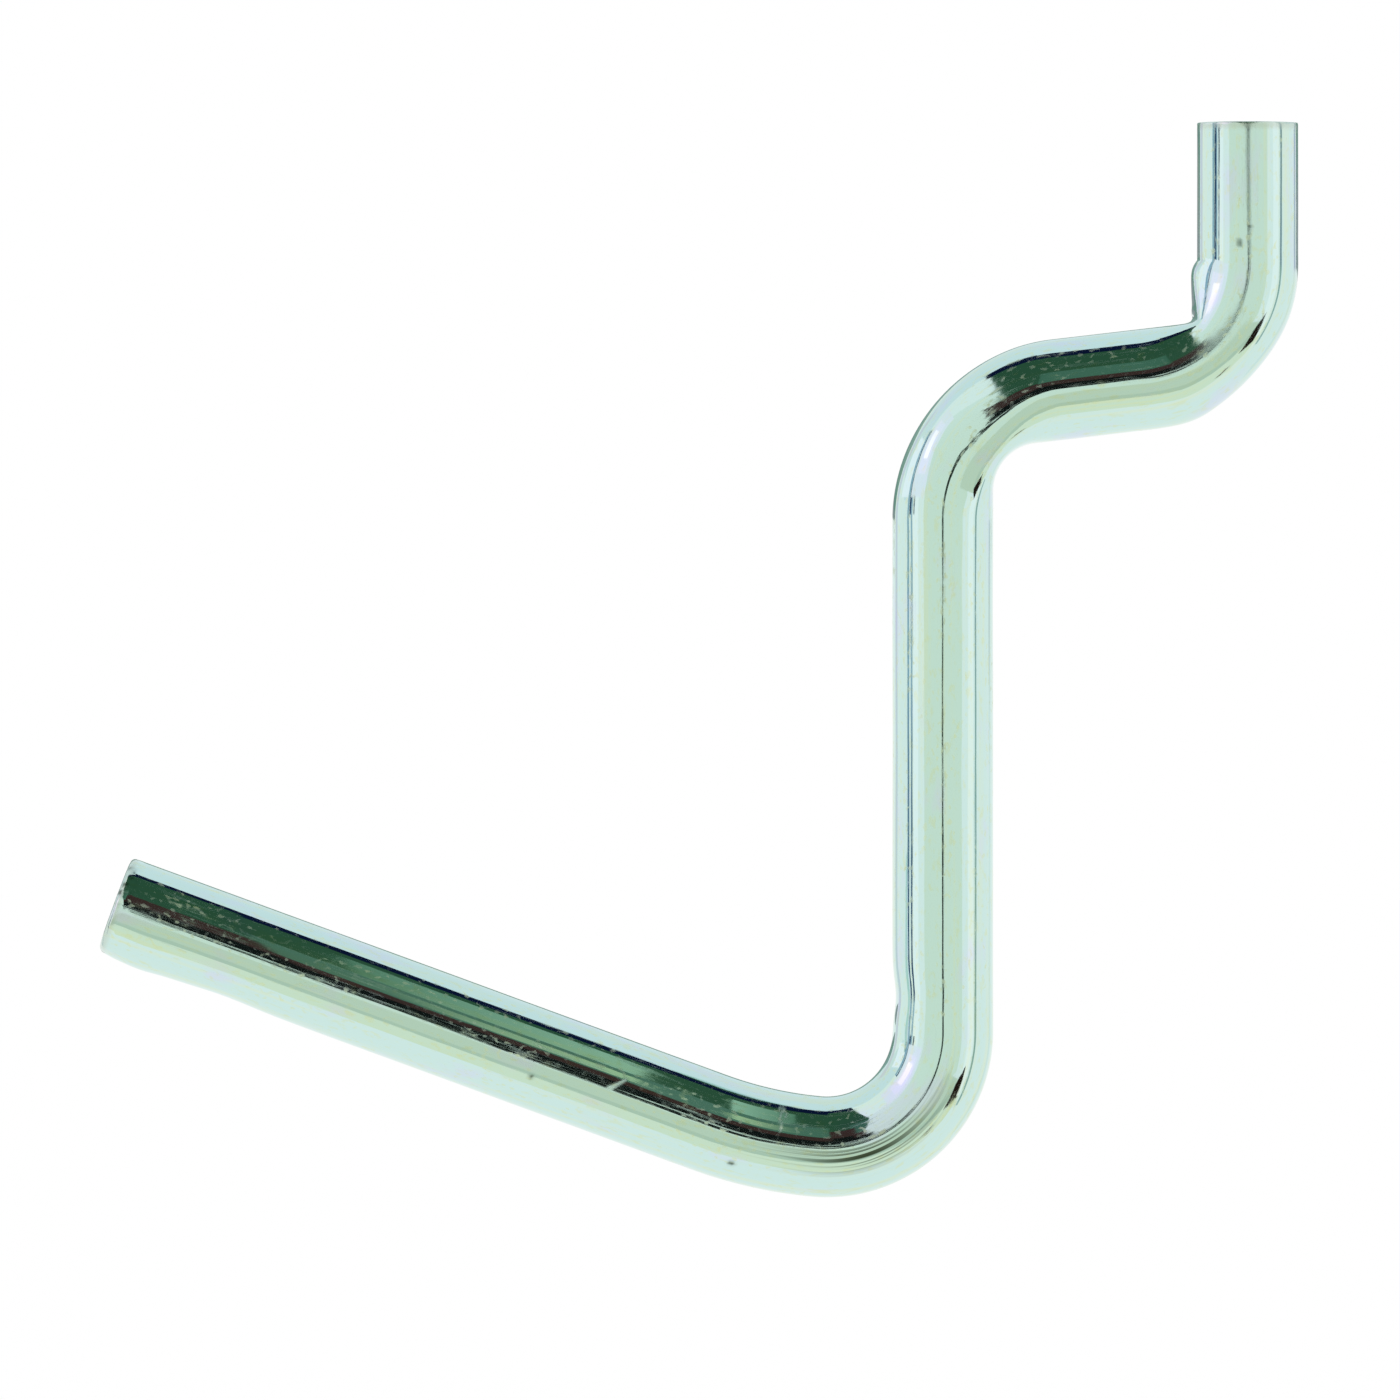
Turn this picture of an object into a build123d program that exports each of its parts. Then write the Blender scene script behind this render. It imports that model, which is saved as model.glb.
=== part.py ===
from build123d import *
from math import atan2, cos, degrees, radians, sin, sqrt, tan
import os

os.makedirs("parts", exist_ok=True)

# Pegboard hook bent from one length of plated steel wire, in millimetres at real size.
# The front face of the board is the plane Y = 0. The arm reaches out to -Y, the stub stands
# behind the board on +Y, and +Z is up. The wire lies in the plane X = 0. The origin is where
# the run through the board crosses the board's front face.

# Wire
wire_d = 5.7
end_rounding = 0.35

# Board and the part of the wire that holds on to it
board_gap = 11.4
run_rise = 6.75
stub_top = 15.4

# Bend from the stub into the run, pinched hard on its inside, and bend from the run into the shank
back_bend_outer_r = 9.6
back_bend_inner_r = 0.4
back_bend_spread = 0.1
back_bend_swell = 0.36
front_bend_outer_r = 10.25
front_bend_inner_r = 2.7
front_bend_spread = 0.04

# Shank, bottom bend and arm
hook_drop = 44.9
bottom_bend_r = 6.5
lead_out_r = 23.8
lead_out_turn = 14.9
arm_rise = 20.1
arm_reach = 49.3

# Lofted sections between a squeezed bend's end and its middle
bend_steps = 10


def direction(heading):
    """Unit vector in the side view, heading in degrees from +Y and turning towards +Z."""
    return Vector(cos(radians(heading)), sin(radians(heading)))


def square_to_wire(point, heading):
    """Plane across the wire at a side-view point: its x is X and its y lies in the side view."""
    ahead = direction(heading)
    return Plane(origin=(0, point.X, point.Y), x_dir=(1, 0, 0), z_dir=(0, ahead.X, ahead.Y))


def straight(start, end):
    """Round wire between two side-view points."""
    ahead = end - start
    heading = degrees(atan2(ahead.Y, ahead.X))
    return extrude(square_to_wire(start, heading) * Circle(wire_d / 2), ahead.length)


def squeezed_bend(corner, heading_in, heading_out, outer_r, inner_r, spread, swell=0):
    """Bend pressed over a tight former, and the two points where it meets the straight wire.

    The wire's outside and its widest points follow round arcs. Its inside keeps straight up to
    an arc of its own, much smaller, so only the inner half of the section is squeezed, and the
    wire spreads a little sideways. On the side that the bend starts from, the inside may swell.
    """
    half_turn = abs(heading_out - heading_in) / 2
    middle_heading = (heading_in + heading_out) / 2
    side = 1 if heading_out > heading_in else -1
    ridge_r = outer_r - wire_d / 2
    wall_distance = outer_r - wire_d
    inward = direction(middle_heading + 90 * side)
    centre = corner + inward * (ridge_r / cos(radians(half_turn)))
    inner_r = min(inner_r, wall_distance)
    inner_offset = (wall_distance - inner_r) / cos(radians(half_turn))
    inner_arc_ends = half_turn - degrees(atan2(inner_offset * sin(radians(half_turn)), wall_distance))

    def inside_distance(angle):
        """Distance from the bend's centre to the inside of the wire, angle from the middle."""
        if angle < inner_arc_ends:
            across = inner_offset * sin(radians(angle))
            return inner_offset * cos(radians(angle)) + sqrt(inner_r**2 - across**2)
        return wall_distance / cos(radians(half_turn - angle))

    def section(angle, end, bulge):
        """Outline across the wire at an angle from the middle towards one end of the bend."""
        heading = middle_heading + side * end * angle
        along = tan(radians(half_turn - angle)) / tan(radians(half_turn))
        inside = inside_distance(angle) - bulge * (1 - (2 * along - 1) ** 4)
        half_width = wire_d / 2 * (1 + spread * cos(radians(90 * angle / half_turn)) ** 2)
        outer_start = 0 if side > 0 else 180
        outer_half = EllipticalCenterArc((0, 0), half_width, wire_d / 2, outer_start, arc_size=180)
        inner_half = EllipticalCenterArc(
            (0, 0), half_width, ridge_r - inside, outer_start + 180, arc_size=180
        )
        ridge = centre + direction(heading - 90 * side) * ridge_r
        return square_to_wire(ridge, heading) * make_face(outer_half + inner_half)

    angles = [half_turn * (1 - step / bend_steps) ** 2 for step in range(bend_steps + 1)]
    first_half = loft([section(angle, -1, swell) for angle in angles])
    second_half = loft([section(angle, 1, 0) for angle in angles])
    end_distance = ridge_r * tan(radians(half_turn))
    start = corner - direction(heading_in) * end_distance
    end = corner + direction(heading_out) * end_distance
    return first_half + second_half, start, end


# Centre lines in the side view
stub_y = board_gap + wire_d / 2
shank_y = -wire_d / 2
run_heading = 180 + run_rise
down = 270
back_corner = Vector(stub_y, stub_y * tan(radians(run_rise)))
front_corner = Vector(shank_y, shank_y * tan(radians(run_rise)))

back_bend, stub_foot, run_back = squeezed_bend(
    back_corner,
    down,
    run_heading,
    back_bend_outer_r,
    back_bend_inner_r,
    back_bend_spread,
    back_bend_swell,
)
front_bend, run_front, shank_top = squeezed_bend(
    front_corner,
    run_heading,
    down,
    front_bend_outer_r,
    front_bend_inner_r,
    front_bend_spread,
)
stub = straight(Vector(stub_y, stub_top), stub_foot)
run = straight(run_back, run_front)

# Shank, bottom bend, its gentle lead-out and the arm, swept with one round section
bottom_turn = 90 + arm_rise - lead_out_turn
shank_foot = Vector(shank_y, -hook_drop + wire_d / 2 + bottom_bend_r)
shank_line = Line(shank_top, shank_foot)
bottom_arc = JernArc(shank_foot, shank_line % 1, bottom_bend_r, -bottom_turn)
lead_out_arc = JernArc(bottom_arc @ 1, bottom_arc % 1, lead_out_r, -lead_out_turn)
arm_foot = lead_out_arc @ 1
arm_length = (arm_reach + arm_foot.X) / cos(radians(arm_rise))
arm_line = Line(arm_foot, arm_foot + (lead_out_arc % 1) * arm_length)
hook_path = Plane.YZ * (shank_line + bottom_arc + lead_out_arc + arm_line)
hook = sweep(square_to_wire(shank_top, down) * Circle(wire_d / 2), path=hook_path)

wire_hook = stub + back_bend + run + front_bend + hook

# Sheared ends, square to the wire, with the sharp edge taken off
stub_end = wire_hook.faces().sort_by(Axis.Z)[-1]
arm_end = wire_hook.faces().sort_by(Axis.Y)[0]
wire_hook = fillet(stub_end.edges() + arm_end.edges(), end_rounding)

export_step(wire_hook, "parts/wire_hook.step")
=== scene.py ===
from math import atan2, cos, degrees, exp, pi, radians, sin, sqrt, tan

import bpy
import numpy as np
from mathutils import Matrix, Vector, noise

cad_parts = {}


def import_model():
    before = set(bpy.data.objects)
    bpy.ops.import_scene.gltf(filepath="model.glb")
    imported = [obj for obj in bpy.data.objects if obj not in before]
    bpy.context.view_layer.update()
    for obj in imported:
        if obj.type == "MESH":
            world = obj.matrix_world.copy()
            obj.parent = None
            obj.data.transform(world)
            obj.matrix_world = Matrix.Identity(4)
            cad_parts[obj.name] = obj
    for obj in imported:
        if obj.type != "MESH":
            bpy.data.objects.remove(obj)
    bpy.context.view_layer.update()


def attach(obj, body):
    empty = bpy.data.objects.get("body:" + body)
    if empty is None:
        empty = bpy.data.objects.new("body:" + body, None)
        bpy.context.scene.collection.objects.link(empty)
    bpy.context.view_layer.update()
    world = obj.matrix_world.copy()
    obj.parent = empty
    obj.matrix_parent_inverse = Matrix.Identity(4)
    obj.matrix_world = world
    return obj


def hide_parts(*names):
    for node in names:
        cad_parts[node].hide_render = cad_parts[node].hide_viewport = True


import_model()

# Sizes are in metres, in the frame of the CAD model: the board's front face is Y = 0, the arm
# reaches out to -Y and the wire lies in the plane X = 0. The photograph looks along -X.
MM = 0.001

# The wire's driving dimensions, as in the CAD model
wire_d = 5.7 * MM
wire_r = wire_d / 2
end_rounding = 0.35 * MM
board_gap = 11.4 * MM
run_rise = 6.75
stub_top = 15.4 * MM
back_bend_outer_r = 9.6 * MM
back_bend_inner_r = 0.4 * MM
back_bend_swell = 0.36 * MM
front_bend_outer_r = 10.25 * MM
front_bend_inner_r = 2.7 * MM
hook_drop = 44.9 * MM
bottom_bend_r = 6.5 * MM
lead_out_r = 23.8 * MM
lead_out_turn = 14.9
arm_rise = 20.1
arm_reach = 49.3 * MM

# What differs from the CAD model: the stub's end is sharper, and the bends hardly spread sideways
stub_end_rounding = 0.08 * MM
back_bend_spread = 0.01
front_bend_spread = 0.02

# How sharply a squeezed section passes from its round sides to the flat that the tool pressed
press_sharpness = 6

# Places where the wire's widest line leans off its middle, and where its sides are flatter than
# round: each has its place along the wire and its reach in millimetres, and its amount
leans = [(25.6, 2.6, 0.09), (13.0, 2.6, 0.06)]
flat_sides = [(28.2, 2.6, 0.52)]

# Relief in millimetres. All of it is sunk a little, so that it stays inside the CAD model's box.
drawn_height = 0.0035
wavy_height = 0.014
torn_height_at_stub = 0.015
torn_height_at_arm = 0.07
relief_sunk = 0.020

# Marks on the surface: place along the wire (mm) and round it (degrees), half sizes the same two
# ways, and height or amount. Round the wire 0 faces the camera, and 90 is the back of the upright
# parts and the underside of the run and the arm.
tool_marks = [
    # Back bend: two humps on its outside with a flat between them, and a ridge inside the pinch
    (9.7, 90, 1.4, 50, 0.065),
    (15.6, 90, 1.1, 50, 0.15),
    (12.6, 90, 1.3, 60, -0.05),
    (12.5, -90, 0.5, 35, 0.22),
    # Start of the front bend, and the hollow in the shank's front above the bottom bend
    (23.6, -45, 1.4, 45, 0.05),
    (59.6, -90, 1.3, 45, -0.19),
    # Uneven underside of the arm
    (106.6, 90, 2.2, 45, -0.12),
    (111.6, 90, 1.2, 45, 0.11),
]

# Haze that dims the middle line of the stub and of the back bend, and lines stretched by the bottom
# bend, written the same way. The stretched lines are raised in the bump and darkened in the base colour
# as painted shade.
hazes = [(2.5, 0, 4.5, 14, 0.30), (12.0, 0, 2.6, 16, 0.35)]
stretched_lines = (69.8, 15, 3.8, 14, 1.0)

# Marks at the arm's end, the same but for the place along the wire: the lower edge that the shears
# rolled over, and ragged specks that lie a little back from the rim. The specks' grain is so many
# periods a millimetre across and along the wire.
rolled_edge = (80, 0.6, 40, -0.14)
rim_specks = (-30, 0.45, 28, 2.6)
specks_set_back = 0.1
specks_grain = (9 * MM / wire_r, 4)

# Scratches and pits: start and end, each along the wire (mm) and round it (degrees), half width
scratches = [
    ((74.8, -43), (74.5, -14), 0.10),
    ((74.6, -43), (74.3, -30), 0.10),
    ((84.5, 2), (83.8, -13), 0.10),
]
# The pits are darkened in the base colour: painted shade in them, with no dent in the mesh.
pits = [
    ((88.8, 20), (88.8, 20), 0.13),
    ((76.8, 38), (76.7, 38), 0.13),
    ((6.7, -11), (6.9, -11), 0.12),
    ((5.9, 1), (5.9, 1), 0.10),
]

# How quickly scratches, haze and pits fade from an end's rim towards the middle of its face
face_fading = 6

# Fineness of the wire's mesh
ring_spacing = 0.155 * MM
points_round = 112
face_rings = 5
edge_rings = 5

# Photograph: what its 1400 pixel frame covers on the wire's own plane
photo_width = 78.54 * MM
photo_centre_y = -16.47 * MM
photo_centre_z = -16.98 * MM
lens = 450.0
sensor = 36.0

# Studio: the floor's height and half its side, and the heights of the ceiling and of two shelves
# close above the hook
floor_level = -0.062
floor_half = 3.0
ceiling = 1.0
shelf = 0.11
low_shelf = 0.065

navy = (0.004, 0.008, 0.035)
black = (0.006, 0.008, 0.008)
brown = (0.055, 0.026, 0.024)
dark_green = (0.030, 0.085, 0.048)


# Route of the wire in the side view, from the stub's end to the arm's end

def direction(heading):
    """Unit vector (y, z), heading in degrees from +Y and turning towards +Z."""
    return np.array([cos(radians(heading)), sin(radians(heading))])


def steps(length):
    """Fractions from 0 on that stay below 1, for rings a ring spacing apart."""
    count = max(2, round(length / ring_spacing))
    return np.arange(count) / count


def ring(centre, heading, left=wire_r, right=wire_r, half_width=wire_r, swell=0.0):
    """Section of the wire: its depth to the left and the right of the heading, and half its width.

    A swell makes the inside of a bend stand proud: on the left, or on the right if it is negative.
    """
    return centre, heading, left, right, half_width, swell


def straight(start, end):
    """Rings of a straight stretch."""
    ahead = end - start
    heading = degrees(atan2(ahead[1], ahead[0])) % 360
    for part in steps(np.hypot(*ahead)):
        yield ring(start + ahead * part, heading)


def right_hand_arc(start, heading, radius, turn):
    """Rings of a bend of even section that turns from heading towards heading - turn."""
    centre = start + direction(heading - 90) * radius
    for part in steps(radius * radians(turn)):
        now = heading - turn * part
        yield ring(centre + direction(now + 90) * radius, now)


def squeezed_bend_ends(corner, heading_in, heading_out, outer_r):
    """Where a squeezed bend meets the straight wire before it and after it."""
    half_turn = radians(abs(heading_out - heading_in) / 2)
    end_distance = (outer_r - wire_r) * tan(half_turn)
    return corner - direction(heading_in) * end_distance, corner + direction(heading_out) * end_distance


def squeezed_bend(corner, heading_in, heading_out, outer_r, inner_r, spread, swell=0.0):
    """Rings of a bend whose inside is pinched to a much smaller arc, as in the CAD model."""
    half_turn = radians(abs(heading_out - heading_in) / 2)
    middle_heading = (heading_in + heading_out) / 2
    side = 1 if heading_out > heading_in else -1
    ridge_r = outer_r - wire_r
    wall_distance = outer_r - wire_d
    centre = corner + direction(middle_heading + 90 * side) * ridge_r / cos(half_turn)
    inner_offset = (wall_distance - inner_r) / cos(half_turn)
    inner_arc_ends = half_turn - atan2(inner_offset * sin(half_turn), wall_distance)
    for part in steps(outer_r * 2 * half_turn):
        angle = half_turn * (2 * part - 1)
        away = abs(angle)
        inside = wall_distance / cos(half_turn - away)
        if away < inner_arc_ends:
            across = inner_offset * sin(away)
            inside = inner_offset * cos(away) + sqrt(inner_r**2 - across**2)
        along = tan(half_turn - away) / tan(half_turn)
        bulge = swell * (1 - (2 * along - 1) ** 4) if angle < 0 else 0.0
        heading = middle_heading + side * degrees(angle)
        ridge = centre + direction(heading - 90 * side) * ridge_r
        left, right = (ridge_r - inside, wire_r) if side > 0 else (wire_r, ridge_r - inside)
        half_width = wire_r * (1 + spread * cos(pi / 2 * angle / half_turn) ** 2)
        yield ring(ridge, heading, left, right, half_width, side * bulge)


def wire_route():
    """All rings of the wire, from the stub's end to the arm's end."""
    down = 270
    run_heading = 180 + run_rise
    stub_y = board_gap + wire_r
    shank_y = -wire_r
    back_corner = np.array([stub_y, stub_y * tan(radians(run_rise))])
    front_corner = np.array([shank_y, shank_y * tan(radians(run_rise))])
    back_bend = (back_corner, down, run_heading, back_bend_outer_r)
    front_bend = (front_corner, run_heading, down, front_bend_outer_r)
    stub_foot, run_back = squeezed_bend_ends(*back_bend)
    run_front, shank_top = squeezed_bend_ends(*front_bend)
    shank_foot = np.array([shank_y, -hook_drop + wire_r + bottom_bend_r])
    bottom_turn = 90 + arm_rise - lead_out_turn
    lead_heading = down - bottom_turn
    arm_heading = lead_heading - lead_out_turn
    bend_centre = shank_foot + direction(down - 90) * bottom_bend_r
    lead_start = bend_centre + direction(lead_heading + 90) * bottom_bend_r
    lead_centre = lead_start + direction(lead_heading - 90) * lead_out_r
    arm_foot = lead_centre + direction(arm_heading + 90) * lead_out_r
    arm_end = arm_foot + direction(arm_heading) * (arm_reach + arm_foot[0]) / cos(radians(arm_rise))

    rings = []
    rings += straight(np.array([stub_y, stub_top]), stub_foot)
    rings += squeezed_bend(*back_bend, back_bend_inner_r, back_bend_spread, back_bend_swell)
    rings += straight(run_back, run_front)
    rings += squeezed_bend(*front_bend, front_bend_inner_r, front_bend_spread)
    rings += straight(shank_top, shank_foot)
    rings += right_hand_arc(shank_foot, down, bottom_bend_r, bottom_turn)
    rings += right_hand_arc(lead_start, lead_heading, lead_out_r, lead_out_turn)
    rings += straight(arm_foot, arm_end)
    rings.append(ring(arm_end, arm_heading))
    return rings


# Mesh of the wire

def near(length, at, reach):
    """1 at a place along the wire (mm), less away from it."""
    return exp(-((length / MM - at) / reach) ** 2)


def mark(length, angle, at, towards, long, wide, amount):
    """A dent, a rise or a stain: its place along and round the wire, its half sizes, its amount."""
    turn = (degrees(angle) - towards + 180) % 360 - 180
    return amount * exp(-((length / MM - at) / long) ** 2 - (turn / wide) ** 2)


def stroke(length, angle, start, end, half_width):
    """1 on a line between two places (mm along the wire, degrees round it), 0 away from it."""
    place = Vector((length / MM, angle * wire_r / MM))
    start, end = (Vector((at, radians(round_it) * wire_r / MM)) for at, round_it in (start, end))
    ahead = end - start
    part = min(max((place - start).dot(ahead) / max(ahead.length_squared, 1e-9), 0), 1)
    return exp(-((place - start - ahead * part).length / half_width) ** 2)


def surface_noise(length, angle, across, along, shift=0.0):
    """Noise from -1 to 1 on the wire: so many periods a millimetre across and along it."""
    radius = wire_r / MM * across
    return noise.noise(Vector((cos(angle) * radius, sin(angle) * radius, length / MM * along + shift)))


def relief(length, angle, total):
    """How far the surface stands proud, from the distance along the wire and the angle round it."""
    drawn = surface_noise(length, angle, 1.1, 0.03) * drawn_height
    wavy = surface_noise(length, angle, 0.35, 0.12, shift=40) * wavy_height
    torn_height = near(length, 0, 0.4) * torn_height_at_stub
    torn_height += near(total - length, 0, 0.5) * torn_height_at_arm
    torn = surface_noise(length, angle, 2.8, 2.8) * torn_height
    tooled = sum(mark(length, angle, *tool_mark) for tool_mark in tool_marks)
    rolled = mark(length, angle, total / MM, *rolled_edge)
    return (drawn + wavy + torn + tooled + rolled - relief_sunk) * MM


def wear_and_shade(length, angle, total):
    """Pale scratches and haze; pits darkened as painted shade, with dark specks by the arm's rim; and the
    patch of lines that the bottom bend stretched, later darkened as painted shade.
    """
    angle = (angle + pi) % (2 * pi) - pi
    pale = sum(stroke(length, angle, *scratch) for scratch in scratches)
    pale += sum(mark(length, angle, *haze) for haze in hazes)
    dark = sum(stroke(length, angle, *pit) for pit in pits)
    ragged = max(surface_noise(length, angle, *specks_grain), 0)
    dark += mark(length, angle, total / MM - specks_set_back, *rim_specks) * ragged
    lined = mark(length, angle, *stretched_lines)
    return min(pale, 1), min(dark, 1), lined


def section_point(section, length, angle, total, shrink):
    """Where a point of a section lies: its X, and its distance to the left of the wire's middle."""
    _, _, left, right, half_width, swell = section
    lift = relief(length, angle, total) * shrink
    half_depth = left if sin(angle) > 0 else right
    squeeze = ((wire_r / half_depth) ** press_sharpness - 1) * abs(sin(angle)) ** press_sharpness
    lean = sum(amount * near(length, at, reach) for at, reach, amount in leans)
    flat = sum(amount * near(length, at, reach) for at, reach, amount in flat_sides)
    widened = 1 + lean * sin(angle) + flat * (1 - abs(cos(angle)))
    x = cos(angle) * (half_width * shrink * widened + lift)
    depth = sin(angle) * (wire_r * shrink / (1 + squeeze) ** (1 / press_sharpness) + lift)
    if sin(angle) * swell > 0:
        depth += swell * sin(angle) ** 4
    return x, depth


def end_profile(rounding):
    """Shrink and set-back of each ring from the middle of an end face out to the wire's side."""
    flat = wire_r - rounding
    for k in range(1, face_rings + 1):
        yield flat * k / (face_rings + 1) / wire_r, 0.0
    for k in range(edge_rings):
        turn = pi / 2 * k / edge_rings
        yield (flat + rounding * sin(turn)) / wire_r, rounding * (1 - cos(turn))


def placed_rings(route, lengths):
    """Each ring of the mesh: its section, its place along the wire, its shrink and its set-back."""
    total = lengths[-1]
    for shrink, back in end_profile(stub_end_rounding):
        yield route[0], back, shrink, back
    for section, length in zip(route, lengths):
        if stub_end_rounding < length < total - end_rounding:
            yield section, length, 1.0, 0.0
    for shrink, back in reversed(list(end_profile(end_rounding))):
        yield route[-1], total - back, shrink, -back


def build_wire():
    """The wire's mesh, which also knows each point's place on the straightened wire, its wear and its
    painted shade.
    """
    route = wire_route()
    centres = np.array([section[0] for section in route])
    gaps = np.hypot(*np.diff(centres, axis=0).T)
    lengths = np.concatenate([[0.0], np.cumsum(gaps)])
    total = lengths[-1]
    verts, straightened, worn_and_shaded, faces = [], [], [], []
    for section, length, shrink, back in placed_rings(route, lengths):
        centre, heading = section[:2]
        middle = centre + direction(heading) * back
        left = direction(heading + 90)
        across = wire_r * shrink / MM
        for k in range(points_round):
            angle = 2 * pi * k / points_round
            x, depth = section_point(section, length, angle, total, shrink)
            verts.append((x, *(middle + left * depth)))
            straightened.append((cos(angle) * across, sin(angle) * across, length / MM))
            worn_and_shaded.append([amount * shrink**face_fading for amount in wear_and_shade(length, angle, total)])

    # Quads from ring to ring, and a fan of triangles in the middle of each end face
    after = [(k + 1) % points_round for k in range(points_round)]
    last = len(verts) - points_round
    for base in range(0, last, points_round):
        for k in range(points_round):
            here, there = base + k, base + after[k]
            faces.append((here, there, there + points_round, here + points_round))
    for base in (0, last):
        middle = len(verts)
        verts.append(tuple(np.mean(verts[base:base + points_round], axis=0)))
        straightened.append((0.0, 0.0, straightened[base][2]))
        worn_and_shaded.append((0.0, 0.0, 0.0))
        for k in range(points_round):
            rim = (base + k, base + after[k])
            faces.append((middle, *(rim if base else reversed(rim))))

    mesh = bpy.data.meshes.new("plated_wire")
    mesh.from_pydata(verts, [], faces)
    mesh.update()
    mesh.polygons.foreach_set("use_smooth", [True] * len(mesh.polygons))
    for name, values in (("along_wire", straightened), ("wear_and_shade", worn_and_shaded)):
        layer = mesh.attributes.new(name, "FLOAT_VECTOR", "POINT")
        layer.data.foreach_set("vector", np.array(values, dtype=np.float32).ravel())
    wire = bpy.data.objects.new("plated_wire", mesh)
    bpy.context.scene.collection.objects.link(wire)
    return wire, total / MM


# Zinc plate: bright metal with the grain of the drawn wire, a faint film of colour, haze, and pits and
# stretched lines darkened as painted shade

class Nodes:
    """Short forms for a material's node tree."""

    def __init__(self, material):
        material.use_nodes = True
        self.tree = material.node_tree
        self.shader = self.tree.nodes["Principled BSDF"]
        self.output = self.tree.nodes["Material Output"]

    def add(self, kind, inputs=(), **settings):
        """A node with some of its inputs fed and its settings set."""
        node = self.tree.nodes.new(kind)
        for name, value in settings.items():
            setattr(node, name, value)
        for name, value in dict(inputs).items():
            self.feed(node.inputs[name], value)
        return node

    def feed(self, socket, value):
        """Link another node's output to a socket, or set the socket to a plain value."""
        if isinstance(value, bpy.types.NodeSocket):
            self.tree.links.new(value, socket)
        else:
            socket.default_value = value

    def math(self, operation, *values, clamp=False):
        """A sum on numbers or sockets."""
        node = self.add("ShaderNodeMath", operation=operation, use_clamp=clamp)
        for socket, value in zip(node.inputs, values):
            self.feed(socket, value)
        return node.outputs[0]

    def stretched(self, across, along, shift=0.0):
        """Coordinates on the straightened wire: so many periods a millimetre across and along it."""
        place = self.add("ShaderNodeAttribute", attribute_name="along_wire").outputs["Vector"]
        node = self.add("ShaderNodeVectorMath", operation="MULTIPLY_ADD")
        self.feed(node.inputs[0], place)
        node.inputs[1].default_value = (across, across, along)
        node.inputs[2].default_value = (shift, shift, shift)
        return node.outputs[0]

    def grain(self, across, along, detail=2.0, shift=0.0):
        """Noise from 0 to 1 stretched along the wire."""
        inputs = {"Vector": self.stretched(across, along, shift), "Scale": 1.0, "Detail": detail,
                  "Roughness": 0.55}
        return self.add("ShaderNodeTexNoise", inputs).outputs[0]

    def parts_of(self, name):
        """The three numbers of an attribute of the mesh."""
        place = self.add("ShaderNodeAttribute", attribute_name=name).outputs["Vector"]
        return self.add("ShaderNodeSeparateXYZ", {"Vector": place}).outputs

    def between(self, value, low, high, to_low=0.0, to_high=1.0):
        """The value eased from its range low to high into to_low to to_high."""
        inputs = {"Value": value, "From Min": low, "From Max": high, "To Min": to_low, "To Max": to_high}
        return self.add("ShaderNodeMapRange", inputs, interpolation_type="SMOOTHSTEP").outputs[0]

    def mix(self, amount, first, second):
        """The first colour, or the second where the amount is 1."""
        node = self.add("ShaderNodeMix", data_type="RGBA")
        self.feed(node.inputs[0], amount)
        self.feed(node.inputs[6], first)
        self.feed(node.inputs[7], second)
        return node.outputs[2]


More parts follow.
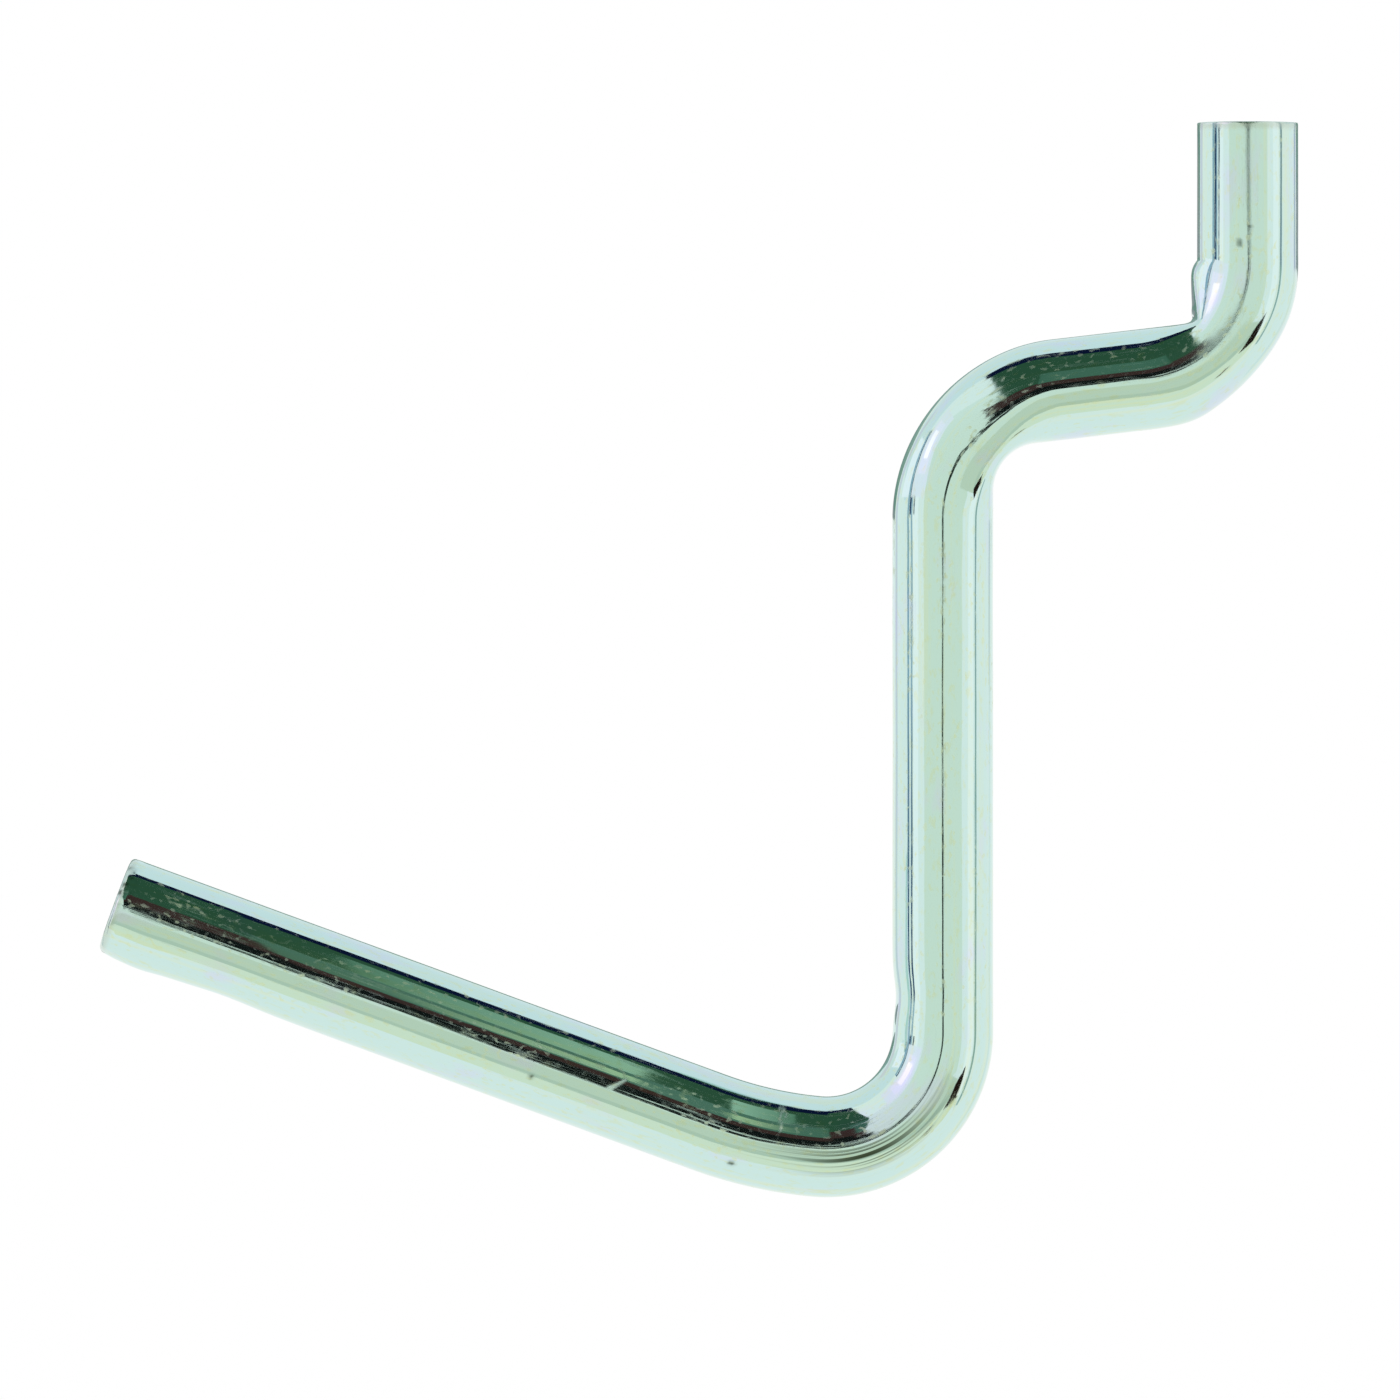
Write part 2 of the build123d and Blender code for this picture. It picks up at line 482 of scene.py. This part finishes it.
def zinc(wire_length):
    """Zinc plate for the wire; its length is in millimetres."""
    material = bpy.data.materials.new("zinc_plate")
    nodes = Nodes(material)
    plain = (0.60, 0.80, 0.76, 1)
    straw = (0.66, 0.80, 0.64, 1)
    lilac = (0.64, 0.73, 0.84, 1)
    olive = (0.66, 0.74, 0.42, 1)
    steel = (0.56, 0.66, 0.58, 1)
    # Dark colour: painted shade in the stretched lines and the pits, and the dark specks by the arm's rim
    shade_and_speck_dark = (0.06, 0.08, 0.05, 1)

    # Bare steel covers a sheared end up to one distance (mm) and fades out at the other
    bare_to = 0.2
    bare_fades_at = 0.55

    lines = nodes.grain(2.6, 0.045, detail=3.0)
    fine_lines = nodes.grain(7.0, 0.22, detail=3.0, shift=11.0)
    clouds = nodes.grain(0.55, 0.22, detail=3.0, shift=23.0)
    mottle = nodes.grain(3.0, 1.3, detail=2.0, shift=37.0)
    grit = nodes.grain(4.3, 2.7, detail=0.0, shift=83.0)
    crowd = nodes.between(nodes.grain(0.8, 0.16, detail=1.0, shift=67.0), 0.40, 0.60, 0.2, 1.0)
    flecks = nodes.math("MULTIPLY", nodes.between(grit, 0.62, 0.76), crowd)
    along = nodes.parts_of("along_wire")[2]
    scratch, pit, lined = nodes.parts_of("wear_and_shade")
    # Threads: the stretched lines, bumped as relief and darkened below as painted shade
    threads = nodes.math("MULTIPLY", nodes.between(nodes.grain(6.0, 0.06, shift=29.0), 0.50, 0.60), lined)
    sheared = nodes.math("SUBTRACT", 1.0, nodes.between(along, bare_to, bare_fades_at))
    arm_sheared = nodes.between(along, wire_length - bare_fades_at, wire_length - bare_to)
    sheared = nodes.math("ADD", sheared, arm_sheared)

    # Film of colour: bands along the wire, stains, bare steel at the sheared ends, and painted shade in the
    # stretched lines and the pits
    colour = nodes.mix(nodes.between(lines, 0.48, 0.70, 0.0, 0.8), plain, straw)
    colour = nodes.mix(nodes.between(clouds, 0.54, 0.72, 0.0, 0.8), colour, lilac)
    colour = nodes.mix(nodes.between(mottle, 0.56, 0.72, 0.0, 0.4), colour, olive)
    colour = nodes.mix(nodes.math("MULTIPLY", flecks, 0.45), colour, olive)
    colour = nodes.mix(nodes.math("MULTIPLY", sheared, 0.7), colour, steel)
    # Painted shade: the stretched lines and the pits turned dark, with the specks by the arm's rim
    colour = nodes.mix(nodes.math("MAXIMUM", threads, pit), colour, shade_and_speck_dark)
    nodes.feed(nodes.shader.inputs["Base Color"], colour)

    # Haze: streaks, mottles and flecks where the plate is less bright
    streaks = nodes.math("MULTIPLY", nodes.between(fine_lines, 0.50, 0.72),
                         nodes.between(clouds, 0.40, 0.62, 0.15, 1.0))
    mottles = nodes.math("MULTIPLY", nodes.between(mottle, 0.48, 0.74), crowd)
    rough = nodes.math("MULTIPLY_ADD", streaks, 0.16, 0.04)
    rough = nodes.math("MULTIPLY_ADD", mottles, 0.08, rough)
    rough = nodes.math("MULTIPLY_ADD", flecks, 0.10, rough)
    rough = nodes.math("MULTIPLY_ADD", sheared, 0.10, rough)
    rough = nodes.math("MULTIPLY_ADD", scratch, 0.35, rough, clamp=True)
    nodes.feed(nodes.shader.inputs["Roughness"], rough)
    dust = nodes.math("MULTIPLY_ADD", flecks, 0.13, nodes.math("MULTIPLY", streaks, 0.05))
    nodes.feed(nodes.shader.inputs["Metallic"], nodes.math("SUBTRACT", 1.0, dust))

    # Relief in micrometres: drawn lines, finer lines, mottles and the stretched lines
    height = nodes.math("MULTIPLY", lines, 3.0)
    height = nodes.math("MULTIPLY_ADD", fine_lines, 0.8, height)
    height = nodes.math("MULTIPLY_ADD", nodes.math("MULTIPLY", mottle, crowd), 0.3, height)
    height = nodes.math("MULTIPLY_ADD", threads, 3.0, height)
    bump = nodes.add("ShaderNodeBump", {"Height": height, "Distance": 1e-6, "Strength": 1.0})
    nodes.feed(nodes.shader.inputs["Normal"], bump.outputs[0])
    return material


# Stage

def plain_mesh(name, corners):
    """A staged object of one face."""
    mesh = bpy.data.meshes.new(name)
    mesh.from_pydata(corners, [], [(0, 1, 2, 3)])
    board = bpy.data.objects.new(name, mesh)
    bpy.context.scene.collection.objects.link(board)
    return board


def white_floor():
    """A white floor that keeps the hook's shadow and doesn't show in the metal."""
    sides = [(-1, -1), (1, -1), (1, 1), (-1, 1)]
    board = plain_mesh("floor", [(x * floor_half, y * floor_half, floor_level) for x, y in sides])
    material = bpy.data.materials.new("floor")
    shader = Nodes(material).shader
    shader.inputs["Base Color"].default_value = (1, 1, 1, 1)
    shader.inputs["Roughness"].default_value = 1.0
    shader.inputs["Specular IOR Level"].default_value = 0.0
    board.data.materials.append(material)
    board.visible_glossy = False


def card(name, corners, colour, far_colour=None):
    """A plain card of the studio that shows only in the metal.

    It has one colour, or two that blend from its first two corners to its other two.
    """
    board = plain_mesh(name, corners)
    far_colour = far_colour or colour
    tones = board.data.attributes.new("tone", "FLOAT_COLOR", "POINT")
    for point, tone in zip(tones.data, (colour, colour, far_colour, far_colour)):
        point.color = (*tone, 1)
    material = bpy.data.materials.new(name)
    nodes = Nodes(material)
    tone = nodes.add("ShaderNodeAttribute", attribute_name="tone").outputs["Color"]
    glow = nodes.add("ShaderNodeEmission", {"Color": tone})
    nodes.feed(nodes.output.inputs["Surface"], glow.outputs[0])
    board.data.materials.append(material)
    board.visible_camera = False
    board.visible_diffuse = False
    board.visible_shadow = False


def level_card(name, x_range, y_range, height, colour, far_colour=None, far_y_from=None):
    """A card overhead or underfoot, whose colour may change along Y.

    Its edge at y_from may slant: far_y_from is where that edge stands at the end of x_range.
    """
    (x_from, x_to), (y_from, y_to) = x_range, y_range
    far_y_from = y_from if far_y_from is None else far_y_from
    corners = [(x_from, y_from, height), (x_to, far_y_from, height), (x_to, y_to, height),
               (x_from, y_to, height)]
    card(name, corners, colour, far_colour)


def sighted_card(name, corners, colour, distance=12.0):
    """A card square to the camera's side; its corners are turns to the right and rises, in degrees."""
    corners = [(distance, distance * tan(radians(turn)), distance * tan(radians(rise)))
               for turn, rise in corners]
    card(name, corners, colour)


def upright_card(name, turn, width, bottom, top, distance, colour, top_colour=None):
    """A card round the object, turn in degrees from the camera's side towards the board's back."""
    towards = Vector((cos(radians(turn)), sin(radians(turn)), 0))
    side = Vector((-towards.y, towards.x, 0)) * width / 2
    foot = towards * distance
    low, high = Vector((0, 0, bottom)), Vector((0, 0, top))
    corners = [foot - side + low, foot + side + low, foot + side + high, foot - side + high]
    card(name, corners, colour, top_colour)


def domed_card(name, off_axis, tilts, colour, far_colour, distance=1.0):
    """A card between two angles off the camera's axis and two tilts from upright, left being positive."""
    def point(off, tilt):
        off, tilt = radians(off), radians(tilt)
        return Vector((cos(off), -sin(off) * sin(tilt), sin(off) * cos(tilt))) * distance

    corners = [point(off_axis[0], tilts[0]), point(off_axis[1], tilts[0]),
               point(off_axis[1], tilts[1]), point(off_axis[0], tilts[1])]
    card(name, corners, colour, far_colour)


def rear_card(name, bottom, top, colour, top_colour=None):
    """A wide card behind the hook, between two heights."""
    x, half = -2, 1.5
    corners = [(x, -half, bottom), (x, half, bottom), (x, half, top), (x, -half, top)]
    card(name, corners, colour, top_colour)


def side_line(name, turn, width, low_colour, high_colour, low=-0.055, high=-0.01):
    """An upright line that changes colour between two heights."""
    bottom, top, distance = -1.2, 1.2, 2.0
    upright_card(name + "_low", turn, width, bottom, low, distance, low_colour)
    upright_card(name + "_fade", turn, width, low, high, distance, low_colour, high_colour)
    upright_card(name + "_high", turn, width, high, top, distance, high_colour)


def ceiling_rail():
    """The rail overhead that makes the dark band along the arm and the run, in five stretches."""
    rail_to = 0.48
    level_card("rail_edge", (-0.03, 0.19), (-0.33, rail_to), ceiling, navy, far_y_from=-0.37)
    level_card("rail_green", (0.19, 1.1), (-0.37, rail_to), ceiling, dark_green, (0.034, 0.09, 0.05),
               far_y_from=-0.52)
    level_card("rail_pale", (1.1, 2.6), (-0.52, rail_to), ceiling, (0.045, 0.13, 0.085), (0.10, 0.19, 0.14),
               far_y_from=-0.40)
    level_card("rail_brown", (2.6, 4.3), (-0.42, 0.60), ceiling, brown)
    level_card("rail_far", (4.3, 12.0), (-0.50, 0.60), ceiling, black)


def shelves():
    """Nearer things overhead: the shelf shows along the arm, the low one in the bends at the board."""
    level_card("near_pale", (0.05, 0.16), (0.013, 0.036), shelf, (0.12, 0.24, 0.16), (0.36, 0.54, 0.40))
    level_card("near_stripe", (0.205, 0.31), (0.013, 0.036), shelf, (0.10, 0.19, 0.13), (0.48, 0.62, 0.38))
    level_card("near_edge", (-0.002, 0.012), (-0.034, -0.010), low_shelf, navy)
    level_card("near_green", (0.012, 0.15), (-0.033, -0.010), low_shelf, dark_green)
    level_card("near_brown", (0.15, 0.30), (-0.038, -0.010), low_shelf, brown)
    level_card("near_black", (0.30, 0.55), (-0.034, -0.010), low_shelf, black)


def doorway():
    """The dark doorway by the camera, which makes the thin line along the middle of the wire."""
    sighted_card("door_low", [(-1.8, -3.2), (0.9, -3.2), (0.9, -0.6), (-2.2, -0.6)], black)
    sighted_card("door_foot", [(-2.6, -7.4), (-1.2, -7.4), (0.3, -3.2), (-1.8, -3.2)], black)
    sighted_card("door_middle", [(-2.2, -0.6), (0.2, -0.6), (0.2, 0.6), (-2.2, 0.6)], (0.06, 0.075, 0.055))
    sighted_card("door_high", [(-2.6, 0.6), (1.0, 0.6), (1.0, 1.15), (-2.6, 1.15)], black)
    sighted_card("door_left", [(0.8, 0.6), (0.8, 0.9), (-0.7, 4.3), (-2.3, 3.2)], black)
    sighted_card("door_top", [(-0.2, 2.2), (1.6, 2.2), (2.6, 4.8), (0.75, 4.8)], black)
    sighted_card("door_upper", [(-0.65, 1.15), (1.35, 1.15), (1.6, 2.2), (-0.2, 2.2)], black)
    sighted_card("door_right", [(1.7, 2.2), (5.0, 1.4), (5.5, 3.4), (1.9, 5.2)], black)


def walls():
    """The wall by the camera, papers on the ground before it, and the sky over the hook and behind."""
    wall_x, wall_half, wall_foot, wall_top = 12.5, 12, -4, 12
    corners = [(wall_x, -wall_half, wall_foot), (wall_x, wall_half, wall_foot),
               (wall_x, wall_half, wall_top), (wall_x, -wall_half, wall_top)]
    card("wall", corners, (0.84, 0.88, 0.76), (0.90, 0.94, 0.90))
    ground, paper_y = -1.0, (-2.5, 2.5)
    level_card("green_paper", (1.7, 6.0), paper_y, ground, (0.72, 0.76, 0.62))
    level_card("grey_paper", (1.25, 1.7), paper_y, ground, (0.62, 0.68, 0.56))
    level_card("straw_paper", (0.55, 1.25), paper_y, ground, (0.92, 0.92, 0.75))
    level_card("sky", (-3.0, 0.03), (-12.0, 12.0), 1.2, (0.84, 0.90, 0.95))


def side_cards():
    """Soft boxes and thin lines to the left and the right, which show in the upright parts."""
    upright_card("left_box", -66, 0.5, -1.2, 1.2, 2.0, (1.12, 1.08, 1.12))
    upright_card("right_box", 66, 0.5, -1.2, 1.2, 2.0, (1.12, 1.08, 1.10))
    side_line("left_edge", -87, 0.20, (0.03, 0.08, 0.17), (0.34, 0.48, 0.62))
    side_line("left_line", -77, 0.16, (0.03, 0.07, 0.17), (0.42, 0.54, 0.67))
    side_line("right_edge", 80, 0.17, (0.36, 0.48, 0.46), (0.30, 0.38, 0.44), low=-0.02, high=0.03)
    side_line("rear_left", -134, 0.40, (0.74, 0.79, 0.83), (0.80, 0.76, 0.88))
    side_line("rear_right", 134, 0.30, (0.90, 0.94, 0.94), (0.55, 0.60, 0.70), low=-0.02, high=0.02)
    upright_card("stub_line", -81, 0.17, 0.047, 1.2, 1.99, (0.03, 0.07, 0.16))
    upright_card("stub_thread", -70.5, 0.09, 0.047, 1.2, 1.99, (0.04, 0.08, 0.13))
    upright_card("pinch_box", -102, 1.0, 0.22, 0.95, 2.0, (1.14, 1.08, 1.18))


def low_things():
    """A bar and a stick low at the right, which make the dark strokes on the bends' lower right."""
    bar = [(0.46, 0.956, -0.292), (0.72, 0.90, -0.43), (0.62, 0.799, -0.602), (0.36, 0.86, -0.50)]
    stick = [(0.50, 0.74, -0.67), (0.56, 0.70, -0.71), (0.53, 0.62, -0.78), (0.48, 0.66, -0.75)]
    card("low_bar", bar, (0.02, 0.01, 0.008))
    card("low_stick", stick, (0.28, 0.22, 0.18))


def rear_cards():
    """Grey-green bands behind the hook, for its far side."""
    rear_card("rear_band", 0.08, 0.70, (0.18, 0.30, 0.25), (0.34, 0.46, 0.44))
    rear_card("rear_low_band", 0.02, 0.08, (0.30, 0.34, 0.34))


def lamps():
    """Three nested soft lights high at the left, for the glare on the bends."""
    domed_card("soft_glow", (46, 82), (42, 84), (1.02, 0.96, 1.06), (1.05, 0.98, 1.12), distance=1.2)
    domed_card("soft_box", (52, 76), (50, 78), (1.10, 0.98, 1.16), (1.18, 1.0, 1.26), distance=1.1)
    domed_card("soft_lamp", (57, 70), (57, 73), (1.45, 1.2, 1.42), (1.65, 1.3, 1.5))


def camera():
    """A long lens that frames the hook as the photograph does."""
    data = bpy.data.cameras.new("camera")
    data.lens = lens
    data.sensor_width = sensor
    data.clip_start = 0.01
    data.clip_end = 50
    eye = bpy.data.objects.new("camera", data)
    distance = photo_width / 2 / (sensor / 2 / lens)
    eye.location = (distance, photo_centre_y, photo_centre_z)
    eye.rotation_euler = (pi / 2, 0, pi / 2)
    bpy.context.scene.collection.objects.link(eye)
    bpy.context.scene.camera = eye


def world():
    """White light from all sides."""
    sky = bpy.data.worlds.new("studio")
    sky.use_nodes = True
    sky.node_tree.nodes["Background"].inputs["Color"].default_value = (1, 1, 1, 1)
    bpy.context.scene.world = sky
    bpy.context.scene.view_settings.view_transform = "Standard"


wire, wire_length = build_wire()
wire.data.materials.append(zinc(wire_length))
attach(wire, "root")
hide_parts("wire_hook")

camera()
world()
white_floor()
ceiling_rail()
shelves()
doorway()
walls()
side_cards()
low_things()
rear_cards()
lamps()
